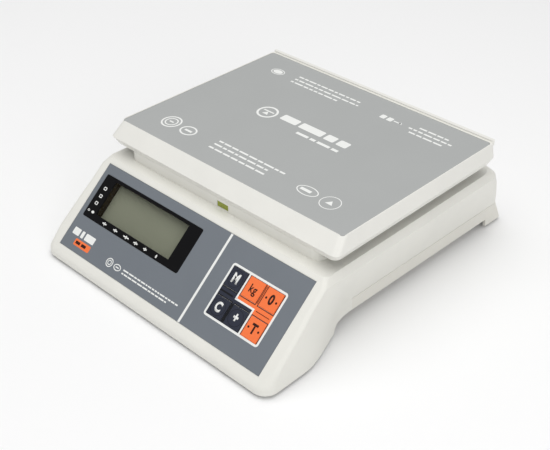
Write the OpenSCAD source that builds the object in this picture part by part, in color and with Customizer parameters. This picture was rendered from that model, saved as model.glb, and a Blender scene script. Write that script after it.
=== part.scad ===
// Counting scale: a moulded two-part body with a sloping panel, a single-point load cell,
// a four-armed spider and a lift-off platform. Millimetres, +Z up, front towards -Y.
// The origin is on the standing surface, in the middle of the footprint.

/* [Body] */
// Width of the body across the front of the nose
body_w = 272; // [270:0.5:274]
// Depth of the body from the front face to the rear wall
body_d = 321; // [320:0.5:322]
// Height of the flat shoulder under the platform
shoulder_z = 71; // [70.5:0.1:71.5]
// Height of the soft crease below the shoulder
crease_z = 65; // [64:0.5:66]
// Height of the seam between the upper and lower mouldings
parting_z = 21.5; // [21:0.1:22]
// Thickness of the moulded walls
wall = 2.5; // [2.2:0.1:2.6]
// Height of the lower edge of the body above the standing surface
skirt_z = 3; // [2.5:0.1:3.5]
// Underside of the floor between the nose and the rear feet
floor_z = 10; // [9.8:0.1:10.2]

/* [Panel] */
// Slope of the control panel above the horizontal
panel_angle = 40.9; // [40.5:0.1:41.2]
// Width of the printed overlay
overlay_w = 244; // [242:0.5:245]
// Length of the printed overlay down the slope
overlay_d = 81.5; // [80:0.5:82]
// Width of a key cap
key_w = 16; // [15:0.5:16.5]
// Length of a key cap down the slope
key_d = 17; // [16:0.5:17.5]
// Travel of a key
key_travel = 0.4; // [0.2:0.05:0.4]

/* [Platform] */
// Width of the grey weighing surface
sheet_w = 255; // [250:1:256]
// Depth of the grey weighing surface
sheet_d = 187; // [184:1:188]
// Height of the weighing surface
sheet_z = 99.7; // [99.5:0.1:100]
// Greatest width of the platform tray
pan_w = 264; // [262:1:265]

/* [Load cell] */
// Length of the load cell
cell_l = 130; // [126:1:134]
// Width of the load cell
cell_w = 30; // [28:1:32]
// Height of the load cell
cell_h = 22; // [20:1:23]
// Travel of the platform under the full load
weigh_travel = 0.4; // [0.2:0.1:0.5]

/* [Feet] */
// Radius of a rubber sole
sole_r = 11; // [10:0.5:11]
// Radius of a threaded stud
stud_r = 3; // [2.5:0.5:3]
// Travel of a levelling foot
foot_travel = 6; // [4:1:6]

/* [Hidden] */

fine = 64;
small = 32;
eps = 0.01;
seam_gap = 0.4;

front_y = -body_d / 2;
rear_y = body_d / 2;
nose_w = body_w / 2;
crease_w = 132;
deck_edge_w = 128;
waist_w = 117.5;
nose_end_y = -120;
flank_start_y = -47;
rear_top_y = 125;
rear_bulge = 0.6;
rear_flare = 3;

// Nose: the front face rounds over into the panel slope.
round_low_z = 6;
round_high_z = 11;
round_depth = 3.3;
slope_start_y = front_y + round_depth;
overlay_top_z = 67.4;
overlay_top_y = slope_start_y + (overlay_top_z - round_high_z) / tan(panel_angle);
panel_recess = 0.6;
overlay_t = 0.5;

arc_steps = 6;
side_steps = 12;
front_r_low = 12;
front_r_high = 4;
rear_r_low = 4;
rear_r_high = 14;

// Lower moulding
lower_start_y = -44;
arch_start_y = -62;
arch_end_y = 136;
floor_t = 2.5;
floor_step = 0.2;
floor_top = floor_z + floor_t;
nose_fit = 0.5;

// Deck under the platform
mid_y = 23.5;
deck_w = 224;
deck_front_y = -78;
deck_rear_y = 112;
deck_top = 80.4;
deck_r = 10;
hub_window_w = 56;
hub_window_d = 52;

// Display window, in panel coordinates: across, and up the slope from the overlay's top edge
window_x = -55.6;
window_v = -29.6;
window_w = 123.4;
window_d = 41.7;
glass_x = -56.6;
glass_v = -27.9;
glass_w = 94.6;
glass_d = 32.6;
lcd_drop = 8;
bezel_wall = 3;
lcd_t = 2.8;
board_t = 1.6;
display_board_w = -14;
display_post_x = 56;
display_post_y = 21.5;
display_board_d = 50;

// Keys, in panel coordinates
key_cols = [58.6, 77.8, 97];
key_rows = [-29.2, -54.7];
key_gap = 0.35;
key_proud = 0.5;
plunger_r = 3;
plunger_end = -2.4;
switch_top = -2.9;
key_board_w = -7.4;
key_mid_v = (key_rows[0] + key_rows[1]) / 2;
key_post_x = 26;
key_post_y = 21;
switch_size = 6;

// Level
level_x = 6.5;
level_w = 13;
level_low_z = 72;
level_high_z = 77.6;
vial_r = 6.5;
vial_y = deck_front_y + wall + vial_r + 0.3;

// Load cell and spider
cell_z = 26;
cell_top = cell_z + cell_h;
cell_end = 15;
block_l = 30;
block_w = 27;
bolt_r = 3;
bolt_head_r = 5;
bolt_head_h = 4;
bolt_pitch = 14;
hub_x = cell_l / 2 - cell_end;
hub_l = 36;
hub_w = 32;
hub_z = 62;
spider_z = 86;
spider_t = 5;
spider_arm_w = 16;
spider_pad_r = 11;
pad_x = 95;
pad_y = 62;
cushion_r = 7;
cushion_top = 96.5;

// Platform tray
pan_low_z = 81;
pan_edge_z = 87.7;
pan_rim_z = 99.9;
pan_top_w = 257.4;
pan_front_y = -82;
pan_bevel = 11.7;
pan_turn_in = 3.5;
pan_rear_top_y = 122;
pan_rear_low_y = 119.5;
pan_corner_r = 6;
pan_lip_z = 101.5;
pan_lip_t = 3.2;
sheet_t = 1.2;
sheet_r = 3;

// Electronics and battery
main_board_x = 10;
main_board_y = 95;
main_board_l = 130;
main_board_w = 66;
main_board_z = 24;
battery_l = 100;
battery_w = 70;
battery_h = 47;
battery_x = -54;
battery_y = -33;
battery_z = 14;
door_l = 103;
door_w = 73;
door_gap = 0.5;
door_pin_r = 0.8;
switch_x = 84;
switch_y = -20;
rocker_z = floor_z - 1;
rocker_tilt = 7;
rocker_pin_r = 0.7;
jack_x = 60;
jack_z = 17;
jack_r = 3.9;
jack_face_y = 154;

// Feet and housing screws
foot_x_front = 118;
foot_x_rear = 100;
foot_y_front = -134;
foot_y_rear = 140;
sole_h = 7;
flange_r = 8;
stud_top = 16 + foot_travel;
foot_boss_h = 7;
boss_r = 6.5;
thread_gap = 0.05;
// Screw places: x, y and the height at which the boss meets the moulding above it
screw_places = [[104, 104, 79], [-104, 104, 79], [106, 25, 79], [-106, 25, 79],
    [122, -118, 40], [-122, -118, 40]];
screw_r = 1.6;
screw_boss_r = 4;
screw_boss_low = 14;
screw_top = 26;

function mix(a, b, t) = a + (b - a) * t;
function ramp(x, a, b) = min(1, max(0, (x - a) / (b - a)));
function smooth(t) = t * t * (3 - 2 * t);

// Half width of the nose and of the flank at a height, and their blend along the depth
function nose_half(z) =
    lookup(z, [[skirt_z, nose_w], [crease_z, crease_w], [shoulder_z, deck_edge_w]]);
function flank_half(z) =
    lookup(z, [[parting_z, waist_w], [crease_z, crease_w], [shoulder_z, deck_edge_w]]);
function half_w(y, z) =
    mix(nose_half(z), flank_half(z), smooth(ramp(y, nose_end_y, flank_start_y)))
    + rear_flare * ramp(y, flank_start_y, rear_y) * ramp(z, crease_z, skirt_z);
// Front edge: an upright face, a rounded corner, then the panel slope
function front_edge(z) = z > round_high_z
    ? slope_start_y + (z - round_high_z) / tan(panel_angle)
    : front_y + round_depth * pow(ramp(z, round_low_z, round_high_z), 2);
// Rear wall: bulges out towards the bottom
function rear_edge(z) = rear_top_y
    + (rear_y - rear_top_y) * pow((shoulder_z - z) / (shoulder_z - skirt_z), rear_bulge);
function front_inset(z, inset) =
    mix(inset, inset / sin(panel_angle), ramp(z, round_low_z, round_high_z + 1));
function front_radius(z) =
    mix(front_r_low, front_r_high, ramp(z, round_low_z, 2 * round_high_z));

// Right half of the body's plan outline at a height, moved inwards by an inset: the front
// corner, the side and the rear corner
function corner(x, y, r, from) =
    [for (i = [0:arc_steps]) let (a = from + 90 * i / arc_steps) [x + r * cos(a), y + r * sin(a)]];
function rear_radius(z) = mix(rear_r_low, rear_r_high, ramp(z, skirt_z, crease_z));
function rear_corner(z, inset) =
    let (r = rear_radius(z), y = rear_edge(z) - r)
    corner(half_w(y, z) - r, y, r - inset, 0);
function half_outline(z, inset) =
    let (
        r = max(1, front_radius(z) - inset),
        y = front_edge(z) + front_inset(z, inset) + r,
        side_y = max(nose_end_y, y + 1)
    )
    concat(
        corner(half_w(y, z) - inset - r, y, r, -90),
        [for (i = [0:side_steps]) let (t = mix(side_y, flank_start_y, i / side_steps))
            [half_w(t, z) - inset, t]],
        rear_corner(z, inset));
// The rear wall and sides behind a given depth, as a closed outline one wall thick
function rear_line(z, inset, start) =
    concat([[half_w(start, z) - inset, start]], rear_corner(z, inset));
function rear_wall(z, start) =
    concat(mirrored(rear_line(z, 0, start)), reversed(mirrored(rear_line(z, wall, start))));
function reversed(list) = [for (i = [len(list) - 1:-1:0]) list[i]];
function mirrored(half) = concat(half, [for (p = reversed(half)) [-p[0], p[1]]]);

// The floor's outline: it clears the nose's skirt and reaches into the rear moulding's wall
function floor_half() =
    let (
        step_y = lower_start_y + seam_gap,
        edge = half_w(step_y, floor_top)
    )
    concat(
        [for (p = half_outline(floor_top, wall + nose_fit)) if (p[1] < step_y) p],
        [[edge - wall - nose_fit, step_y], [edge - wall / 2, step_y]],
        [for (p = half_outline(floor_top, wall / 2)) if (p[1] > step_y) p]);

// End caps as strips between each point and its partner from the other end of the outline
function cap_low(n, first) = concat(
    [for (i = [0:n / 2 - 2]) [first + i, first + i + 1, first + n - 2 - i]],
    [for (i = [0:n / 2 - 2]) [first + i, first + n - 2 - i, first + n - 1 - i]]);
function cap_high(n, first) = concat(
    [for (i = [0:n / 2 - 2]) [first + i, first + n - 2 - i, first + i + 1]],
    [for (i = [0:n / 2 - 2]) [first + i, first + n - 1 - i, first + n - 2 - i]]);
// A solid through a stack of outlines that all have the same number of points
module loft(outlines, heights) {
    n = len(outlines[0]);
    top = len(heights) - 1;
    polyhedron(
        points = [for (k = [0:top], p = outlines[k]) [p[0], p[1], heights[k]]],
        faces = concat(
            cap_low(n, 0),
            cap_high(n, top * n),
            [for (k = [0:top - 1], j = [0:n - 1])
                [k * n + j, (k + 1) * n + j, (k + 1) * n + (j + 1) % n]],
            [for (k = [0:top - 1], j = [0:n - 1])
                [k * n + j, (k + 1) * n + (j + 1) % n, k * n + (j + 1) % n]]),
        convexity = 6);
}
// The body as one open-bottomed shell: its outer rings rise, its inner rings rise inside them
module body_shell(outer_z, inner_z, inset) {
    outer = [for (z = outer_z) mirrored(half_outline(z, 0))];
    inner = [for (z = inner_z) mirrored(half_outline(z, inset))];
    n = len(outer[0]);
    first = len(outer_z) * n;
    top = len(outer_z) - 1;
    inner_top = len(inner_z) - 1;
    polyhedron(
        points = concat(
            [for (k = [0:top], p = outer[k]) [p[0], p[1], outer_z[k]]],
            [for (k = [0:inner_top], p = inner[k]) [p[0], p[1], inner_z[k]]]),
        faces = concat(
            cap_high(n, top * n),
            cap_low(n, first + inner_top * n),
            [for (k = [0:top - 1], j = [0:n - 1])
                [k * n + j, (k + 1) * n + j, (k + 1) * n + (j + 1) % n]],
            [for (k = [0:top - 1], j = [0:n - 1])
                [k * n + j, (k + 1) * n + (j + 1) % n, k * n + (j + 1) % n]],
            [for (k = [0:inner_top - 1], j = [0:n - 1])
                [first + k * n + j, first + (k + 1) * n + (j + 1) % n, first + (k + 1) * n + j]],
            [for (k = [0:inner_top - 1], j = [0:n - 1])
                [first + k * n + j, first + k * n + (j + 1) % n,
                    first + (k + 1) * n + (j + 1) % n]],
            [for (j = [0:n - 1]) [j, (j + 1) % n, first + (j + 1) % n]],
            [for (j = [0:n - 1]) [j, first + (j + 1) % n, first + j]]),
        convexity = 8);
}

// An upright block with rounded vertical corners, centred in plan and standing on z = 0
module round_block(w, d, h, r) {
    translate([-w / 2 + r, -d / 2, 0]) cube([w - 2 * r, d, h]);
    translate([-w / 2, -d / 2 + r, 0]) cube([w, d - 2 * r, h]);
    for (x = [-1, 1], y = [-1, 1])
        translate([x * (w / 2 - r), y * (d / 2 - r), 0]) cylinder(r = r, h = h, $fn = fine);
}
module block(w, d, h) {
    translate([-w / 2, -d / 2, 0]) cube([w, d, h]);
}
// Panel coordinates: x across, y up the slope from the overlay's top edge, z out of the panel
module on_panel() {
    translate([0, overlay_top_y, overlay_top_z]) rotate([panel_angle, 0, 0]) children();
}
module post(x, y, low, high, r) {
    translate([x, y, low]) cylinder(r = r, h = high - low, $fn = small);
}
module foot_places() {
    for (s = [-1, 1]) {
        translate([s * foot_x_front, foot_y_front, 0]) children();
        translate([s * foot_x_rear, foot_y_rear, 0]) children();
    }
}
// A held cable: a tube of eight sides through its own points
function along(p, i) = let (a = p[max(0, i - 1)], b = p[min(len(p) - 1, i + 1)])
    (b - a) / norm(b - a);
function ring(p, i, r) =
    let (t = along(p, i), side = cross(t, [0.1, 0.2, 1]), u = side / norm(side), v = cross(t, u))
    [for (k = [0:7]) p[i] + r * (cos(45 * k) * u + sin(45 * k) * v)];
module tube(p, r) {
    n = len(p) - 1;
    polyhedron(
        points = [for (i = [0:n], q = ring(p, i, r)) q],
        faces = concat(
            [[for (k = [7:-1:0]) k]],
            [[for (k = [0:7]) n * 8 + k]],
            [for (i = [0:n - 1], k = [0:7])
                [i * 8 + k, i * 8 + (k + 1) % 8, (i + 1) * 8 + (k + 1) % 8]],
            [for (i = [0:n - 1], k = [0:7])
                [i * 8 + k, (i + 1) * 8 + (k + 1) % 8, (i + 1) * 8 + k]]),
        convexity = 6);
}
// Rounds the corners of a route with a quadratic curve at each inner point
function curve(a, b, c, t) = (1 - t) * (1 - t) * a + 2 * t * (1 - t) * b + t * t * c;
function route(p) = concat([p[0]],
    [for (i = [1:len(p) - 2], t = [0, 0.5, 1])
        curve((p[i - 1] + 2 * p[i]) / 3, p[i], (p[i + 1] + 2 * p[i]) / 3, t)],
    [p[len(p) - 1]]);

// Lower moulding: floor, low side band and rear wall, with the battery bay and foot bosses
module lower_housing() {
    lower_top = parting_z - seam_gap / 2;
    color("gainsboro") difference() {
        union() {
            loft([for (z = [floor_z, lower_top]) rear_wall(z, lower_start_y)],
                [floor_z, lower_top]);
            loft([for (z = [skirt_z, floor_z]) rear_wall(z, arch_end_y)], [skirt_z, floor_z]);
            translate([0, 0, floor_z + floor_step])
                linear_extrude(floor_t - floor_step) polygon(mirrored(floor_half()));
        }
        translate([battery_x, battery_y, floor_z - 1]) block(door_l + 2 * door_gap, door_w + 2 * door_gap, 2 * wall);
        translate([battery_x, battery_y, floor_z]) door_axis(door_l + 4, door_pin_r + thread_gap);
        translate([switch_x, switch_y, floor_z - 1]) block(13, 20, 2 * wall);
        foot_places() translate([0, 0, floor_z - 1])
            cylinder(r = stud_r + thread_gap, h = 20, $fn = fine);
        for (s = screw_places)
            translate([s[0], s[1], floor_z - 1]) cylinder(r = screw_r + 0.2, h = 9, $fn = small);
        for (x = [-1, 1]) translate([-hub_x + x * bolt_pitch / 2, mid_y, floor_z - 1])
            cylinder(r = bolt_r + 0.2, h = 9, $fn = small);
        translate([hub_x, mid_y, floor_z - 1]) cylinder(r = 2.55, h = 9, $fn = small);
        translate([jack_x, rear_y, jack_z]) rotate([90, 0, 0])
            cylinder(r = jack_r + 0.3, h = 12, $fn = small);
    }
    color("gainsboro") difference() {
        foot_places() translate([0, 0, floor_top - eps])
            cylinder(r = boss_r, h = foot_boss_h, $fn = small);
        foot_places() cylinder(r = stud_r + thread_gap, h = 40, $fn = fine);
    }
    color("gainsboro") translate([battery_x, battery_y, floor_top - eps]) difference() {
        block(door_l + 5, door_w + 5, 22);
        translate([0, 0, -1]) block(door_l + 2 * door_gap, door_w + 2 * door_gap, 30);
    }
    color("gainsboro") difference() {
        for (x = [-1, 1], y = [-1, 1])
            post(main_board_x + x * 58, main_board_y + y * 26, floor_top - eps, main_board_z, 4);
        for (x = [-1, 1], y = [-1, 1])
            post(main_board_x + x * 58, main_board_y + y * 26, main_board_z - 9, 40, screw_r);
    }
}

// Upper moulding: nose with the panel, sides, shoulder, deck and screw bosses
module upper_housing() {
    shell_low = parting_z + seam_gap / 2;
    color("whitesmoke") difference() {
        union() {
            body_shell(
                [skirt_z, round_low_z, 7.5, 9, round_high_z, 16, parting_z, 32, 43, 54,
                    crease_z, 68.5, shoulder_z],
                [skirt_z, round_low_z, round_high_z, 16, parting_z, 32, 43, 54,
                    crease_z - 0.5, shoulder_z - wall], wall);
            translate([0, (deck_front_y + deck_rear_y) / 2, crease_z + 4])
                round_block(deck_w, deck_rear_y - deck_front_y, deck_top - crease_z - 4, deck_r);
        }
        translate([0, (deck_front_y + deck_rear_y) / 2, crease_z])
            round_block(deck_w - 2 * wall, deck_rear_y - deck_front_y - 2 * wall,
                deck_top - wall - crease_z, deck_r - wall);
        translate([-body_w, lower_start_y, -1])
            cube([2 * body_w, body_d, shell_low + 1]);
        translate([-body_w, arch_start_y, -1]) cube([2 * body_w, body_d, floor_z + 1]);
        translate([-body_w, arch_start_y, floor_z - 8]) rotate([0, 90, 0])
            cylinder(r = 8, h = 4 * body_w, $fn = small);
        translate([hub_x, mid_y, deck_top - 2 * wall])
            block(hub_window_w, hub_window_d, 4 * wall);
        translate([level_x - level_w / 2, deck_front_y - 1, level_low_z])
            cube([level_w, 4 * wall, level_high_z - level_low_z]);
        on_panel() {
            translate([0, -overlay_d / 2, -panel_recess - 0.02])
                block(overlay_w + 0.6, overlay_d + 0.6, 10);
            translate([glass_x, glass_v, -10])
                block(glass_w + 2 * bezel_wall + 1, glass_d + 2 * bezel_wall + 1, 20);
            translate([window_x, window_v, -1.6]) block(window_w + 0.6, window_d + 0.6, 20);
            for (x = key_cols, y = key_rows) translate([x, y, 0]) {
                translate([0, 0, -10]) cylinder(r = plunger_r + 1, h = 20, $fn = small);
                translate([0, 0, -panel_recess - key_travel - 0.2])
                    block(key_w + 2 * key_gap, key_d + 2 * key_gap, 10);
            }
        }
    }
    color("whitesmoke") difference() {
        for (s = screw_places) post(s[0], s[1], screw_boss_low, s[2], screw_boss_r);
        for (s = screw_places) post(s[0], s[1], screw_boss_low - 1, screw_top + 2, screw_r + 0.05);
    }
    color("whitesmoke") on_panel() difference() {
        panel_posts(3, -1.8);
        panel_posts(1.3, -4);
    }
}
// Posts behind the panel: for the display board, then for the key board
module panel_posts(r, high) {
    for (x = [-1, 1], y = [-1, 1]) {
        translate([window_x + x * display_post_x, window_v + y * display_post_y,
                display_board_w])
            cylinder(r = r, h = high - display_board_w, $fn = small);
        translate([key_cols[1] + x * key_post_x, key_mid_v + y * key_post_y, key_board_w])
            cylinder(r = r, h = high - key_board_w, $fn = small);
    }
}

// Printed overlay sheet, open at the window and at each key
module panel_overlay() {
    color("slategray") on_panel() translate([0, 0, -panel_recess]) difference() {
        translate([0, -overlay_d / 2, 0]) block(overlay_w, overlay_d, overlay_t);
        translate([window_x, window_v, -1]) round_block(window_w, window_d, 3, 2);
        for (x = key_cols, y = key_rows)
            translate([x, y, -1]) block(key_w + 2 * key_gap, key_d + 2 * key_gap, 3);
    }
}
module display_window() {
    color([0.2, 0.2, 0.22, 0.4]) on_panel() translate([window_x, window_v, -1.5])
        round_block(window_w - 0.3, window_d - 0.3, 1.4, 2);
}
module lcd_bezel() {
    color("black") on_panel() translate([glass_x, glass_v, -lcd_drop]) difference() {
        block(glass_w + 2 * bezel_wall, glass_d + 2 * bezel_wall, lcd_drop - 1.6);
        translate([0, 0, -1]) block(glass_w, glass_d, lcd_drop + 2);
    }
}
module lcd_glass() {
    color("darkkhaki") on_panel() translate([glass_x, glass_v, -lcd_drop - lcd_t])
        block(glass_w + 4, glass_d + 4, lcd_t);
}
module display_board() {
    color("darkgreen") on_panel() difference() {
        translate([window_x, window_v, display_board_w - board_t])
            block(window_w, display_board_d, board_t);
        translate([0, 0, -20]) panel_posts(1.5, 10);
    }
}
// Plastic spacers that hold the liquid-crystal glass off its board
module display_posts() {
    color("ivory") on_panel()
        for (x = [-1, 1], y = [-1, 1])
            translate([glass_x + x * 44, glass_v + y * 13, display_board_w])
                cylinder(r = 2, h = -lcd_drop - lcd_t - display_board_w, $fn = small);
}

// One key: a cap that stands a little proud of the sheet, and a plunger over its switch
module key(col, row) {
    on_panel() translate([key_cols[col], key_rows[row], 0]) {
        translate([0, 0, -panel_recess + 0.1])
            block(key_w, key_d, panel_recess - 0.1 + key_proud - 0.3);
        translate([0, 0, key_proud - 0.3 - eps]) block(key_w - 1.2, key_d - 1.2, 0.3 + eps);
        translate([0, 0, plunger_end])
            cylinder(r = plunger_r, h = -plunger_end, $fn = small);
    }
}
module key_total() { color("dimgray") key(0, 0); }
module key_unit() { color("coral") key(1, 0); }
module key_zero() { color("coral") key(2, 0); }
module key_clear() { color("dimgray") key(0, 1); }
module key_sum() { color("dimgray") key(1, 1); }
module key_tare() { color("coral") key(2, 1); }

module key_board() {
    color("darkgreen") on_panel() difference() {
        translate([key_cols[1], key_mid_v, key_board_w - board_t]) block(60, 50, board_t);
        translate([0, 0, -4]) panel_posts(1.5, 10);
    }
}
module tact_switches() {
    color("silver") on_panel()
        for (x = key_cols, y = key_rows) translate([x, y, key_board_w]) {
            block(switch_size, switch_size, 3.2);
            cylinder(r = 1.7, h = switch_top - key_board_w, $fn = small);
        }
}
// Screws that hold both boards to the posts behind the panel
module panel_screws() {
    color("silver") on_panel()
        for (x = [-1, 1], y = [-1, 1]) {
            translate([window_x + x * display_post_x, window_v + y * display_post_y,
                    display_board_w - board_t]) {
                translate([0, 0, -1.6]) cylinder(r = 2.6, h = 1.6, $fn = small);
                cylinder(r = 1.25, h = board_t + 6, $fn = small);
            }
            translate([key_cols[1] + x * key_post_x, key_mid_v + y * key_post_y,
                    key_board_w - board_t]) {
                translate([0, 0, -1.6]) cylinder(r = 2.6, h = 1.6, $fn = small);
                cylinder(r = 1.25, h = board_t + 3, $fn = small);
            }
        }
}

// Round bubble level behind its window in the front of the deck
module level_vial() {
    color([0.6, 0.7, 0.15, 0.6]) translate([level_x, vial_y, level_low_z])
        cylinder(r = vial_r, h = level_high_z - level_low_z - 0.2, $fn = fine);
}
module level_holder() {
    back = vial_y + vial_r + 0.5;
    color("whitesmoke") {
        translate([level_x, vial_y, level_low_z - 1.5]) block(14, 2 * vial_r, 1.5);
        translate([level_x - 7, back - 0.5, level_low_z - 1.5])
            cube([14, 2, deck_top - wall - level_low_z + 1.5]);
    }
}

// Single-point load cell: a bar with two joined cross holes at its middle
module load_cell() {
    color("lightgray") difference() {
        translate([0, mid_y, cell_z]) block(cell_l, cell_w, cell_h);
        for (x = [-1, 1])
            translate([x * 12, mid_y + cell_w, cell_z + cell_h / 2]) rotate([90, 0, 0])
                cylinder(r = 8.5, h = 2 * cell_w, $fn = fine);
        translate([0, mid_y, cell_z + cell_h / 2 - 2]) block(24, 2 * cell_w, 4);
        for (x = [-1, 1], s = [-1, 1])
            translate([s * hub_x + x * bolt_pitch / 2, mid_y, cell_z - 1])
                cylinder(r = bolt_r + thread_gap, h = 2 * cell_h, $fn = fine);
    }
}
module drilled_block(x, low, high) {
    difference() {
        translate([x, mid_y, low]) block(block_l, block_w, high - low);
        for (s = [-1, 1]) translate([x + s * bolt_pitch / 2, mid_y, low - 1])
            cylinder(r = bolt_r + 0.2, h = high - low + 2, $fn = fine);
    }
}
module cell_base_block() { color("silver") drilled_block(-hub_x, floor_top, cell_z); }
module cell_top_block() { color("silver") drilled_block(hub_x, cell_top, hub_z); }
module cell_base_bolts() {
    color("dimgray") for (s = [-1, 1])
        translate([-hub_x + s * bolt_pitch / 2, mid_y, 0]) {
            post(0, 0, floor_z - bolt_head_h, floor_z, bolt_head_r);
            post(0, 0, floor_z - eps, cell_top - 6, bolt_r);
        }
}
module cell_top_bolts() {
    color("dimgray") for (s = [-1, 1])
        translate([hub_x + s * bolt_pitch / 2, mid_y, 0]) {
            post(0, 0, spider_z, spider_z + bolt_head_h, bolt_head_r);
            post(0, 0, cell_z + 6, spider_z + eps, bolt_r);
        }
}
// Stop screw under the free end of the cell, clear of it by more than the working travel
module overload_stops() {
    stop_top = cell_z - weigh_travel - 0.4;
    color("dimgray") {
        post(hub_x, mid_y, floor_z - 3, floor_z, 4.5);
        post(hub_x, mid_y, floor_z - eps, stop_top, 2.5);
        translate([hub_x, mid_y, floor_top]) difference() {
            cylinder(r = 4.6, h = 4, $fn = 6);
            translate([0, 0, -1]) cylinder(r = 2.5, h = 6, $fn = small);
        }
    }
}

// Spider: a hub on the cell's free end and four arms to the platform's cushions
module spider() {
    arm = norm([pad_x, pad_y]);
    angle = atan2(pad_y, pad_x);
    color("lightgray") difference() {
        union() {
            translate([hub_x, mid_y, hub_z]) block(hub_l, hub_w, spider_z + spider_t - hub_z);
            translate([0, mid_y, spider_z]) {
                cylinder(r = 32, h = spider_t, $fn = fine);
                for (a = [angle, 180 - angle, 180 + angle, -angle]) rotate([0, 0, a]) {
                    translate([0, -spider_arm_w / 2, 0]) cube([arm, spider_arm_w, spider_t]);
                    translate([arm, 0, 0]) cylinder(r = spider_pad_r, h = spider_t, $fn = fine);
                }
            }
        }
        for (s = [-1, 1]) translate([hub_x + s * bolt_pitch / 2, mid_y, 0]) {
            post(0, 0, hub_z - 1, spider_z + 20, bolt_r + 0.2);
            post(0, 0, spider_z, spider_z + 20, bolt_head_r + 0.5);
        }
    }
}
module pad_places() {
    for (x = [-1, 1], y = [-1, 1]) translate([x * pad_x, mid_y + y * pad_y, 0]) children();
}
module pan_cushions() {
    color("dimgray") pad_places()
        translate([0, 0, spider_z + spider_t])
            cylinder(r = cushion_r, h = cushion_top - spider_z - spider_t, $fn = fine);
}

// Platform tray: wide front bevel, steep sides, a skirt that turns in and a rear lip
function pan_outline(half, front, rear, r) = mirrored(concat(
    [for (i = [0:arc_steps]) let (a = -90 + 90 * i / arc_steps)
        [half - r + r * cos(a), front + r + r * sin(a)]],
    [for (i = [0:arc_steps]) let (a = 90 * i / arc_steps)
        [half - r + r * cos(a), rear - r + r * sin(a)]]));
module pan_shape(inset, low, high) {
    edge = pan_w / 2 - inset;
    top_edge = pan_top_w / 2 - inset;
    r = pan_corner_r - inset / 2;
    loft([
        pan_outline(edge - pan_turn_in, pan_front_y + pan_turn_in + inset,
            pan_rear_low_y - pan_turn_in / 2 - inset, r),
        pan_outline(edge, pan_front_y + inset, pan_rear_low_y + 0.8 - inset, r),
        pan_outline(top_edge, pan_front_y + pan_bevel + inset, pan_rear_top_y - inset, r)],
        [low, pan_edge_z - inset / 4, high]);
}
module pan() {
    color("white") difference() {
        union() {
            pan_shape(0, pan_low_z, pan_rim_z);
            translate([0, pan_rear_top_y - pan_lip_t / 2, pan_rim_z - 3])
                round_block(pan_top_w - 1, pan_lip_t, pan_lip_z - pan_rim_z + 3, 1.5);
        }
        pan_shape(wall, pan_low_z - 1, cushion_top);
        translate([0, mid_y, sheet_z - sheet_t])
            round_block(sheet_w + 0.4, sheet_d + 0.4, 10, sheet_r);
    }
    color("white") pad_places() difference() {
        translate([0, 0, cushion_top - 4]) cylinder(r = cushion_r + 3, h = 4 + eps, $fn = fine);
        translate([0, 0, cushion_top - 5]) cylinder(r = cushion_r + 0.6, h = 5, $fn = fine);
    }
}
module pan_sheet() {
    color("darkgray") translate([0, mid_y, sheet_z - sheet_t])
        round_block(sheet_w, sheet_d, sheet_t, sheet_r);
}

// Main board on its posts, with its parts
module main_board() {
    color("darkgreen") difference() {
        translate([main_board_x, main_board_y, main_board_z])
            block(main_board_l, main_board_w, board_t);
        for (x = [-1, 1], y = [-1, 1])
            post(main_board_x + x * 58, main_board_y + y * 26, main_board_z - 1, 40,
                screw_r + 0.3);
    }
}
module board_components() {
    top = main_board_z + board_t;
    color("black") {
        translate([main_board_x, main_board_y, top]) block(14, 14, 1.6);
        translate([main_board_x - 30, main_board_y + 12, top]) block(8, 10, 1.8);
        translate([main_board_x + 26, main_board_y - 14, top]) block(10, 6, 1.8);
        translate([main_board_x - 34, main_board_y - 16, top]) block(18, 8, 4);
    }
    color("white") {
        translate([main_board_x - 58 + 14, main_board_y + 28, top]) block(12, 6, 7);
        translate([main_board_x + 20, main_board_y - 29, top]) block(14, 6, 7);
        translate([main_board_x - 10, main_board_y - 29, top]) block(20, 6, 8);
    }
    color("navy") for (x = [0:2])
        post(main_board_x + 30 + 10 * x, main_board_y + 18, top, top + 11, 4);
    color("silver") translate([main_board_x + 12, main_board_y + 18, top]) block(11, 4.6, 3.6);
}
module board_screws() {
    top = main_board_z + board_t;
    color("silver") for (x = [-1, 1], y = [-1, 1])
        translate([main_board_x + x * 58, main_board_y + y * 26, 0]) {
            post(0, 0, top, top + 1.8, 3);
            post(0, 0, main_board_z - 7, top + eps, screw_r - 0.05);
        }
}

// Sealed battery over its door
module battery() {
    color("dimgray") translate([battery_x, battery_y, battery_z])
        round_block(battery_l, battery_w, battery_h, 2);
}
module door_axis(length, r) {
    translate([-length / 2, -door_w / 2 + floor_t / 2, floor_t / 2]) rotate([0, 90, 0])
        cylinder(r = r, h = length, $fn = small);
}
module battery_tabs() {
    top = battery_z + battery_h;
    color("silver") for (s = [-1, 1])
        translate([battery_x + 40, battery_y + s * 24, top]) block(0.8, 4.8, 6.4);
}
// The front edge of the door is round and ends in two pins held by the floor.
module battery_door() {
    round = floor_t / 2;
    color("gainsboro") translate([battery_x, battery_y, floor_z]) {
        translate([-door_l / 2, -door_w / 2 + round, 0]) cube([door_l, door_w - round, floor_t]);
        door_axis(door_l, round);
        door_axis(door_l + 3, door_pin_r);
        for (x = [-1, 1]) translate([x * 34, 0, floor_t - eps])
            block(6, door_w - 8, battery_z - floor_top + eps);
    }
}

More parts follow.
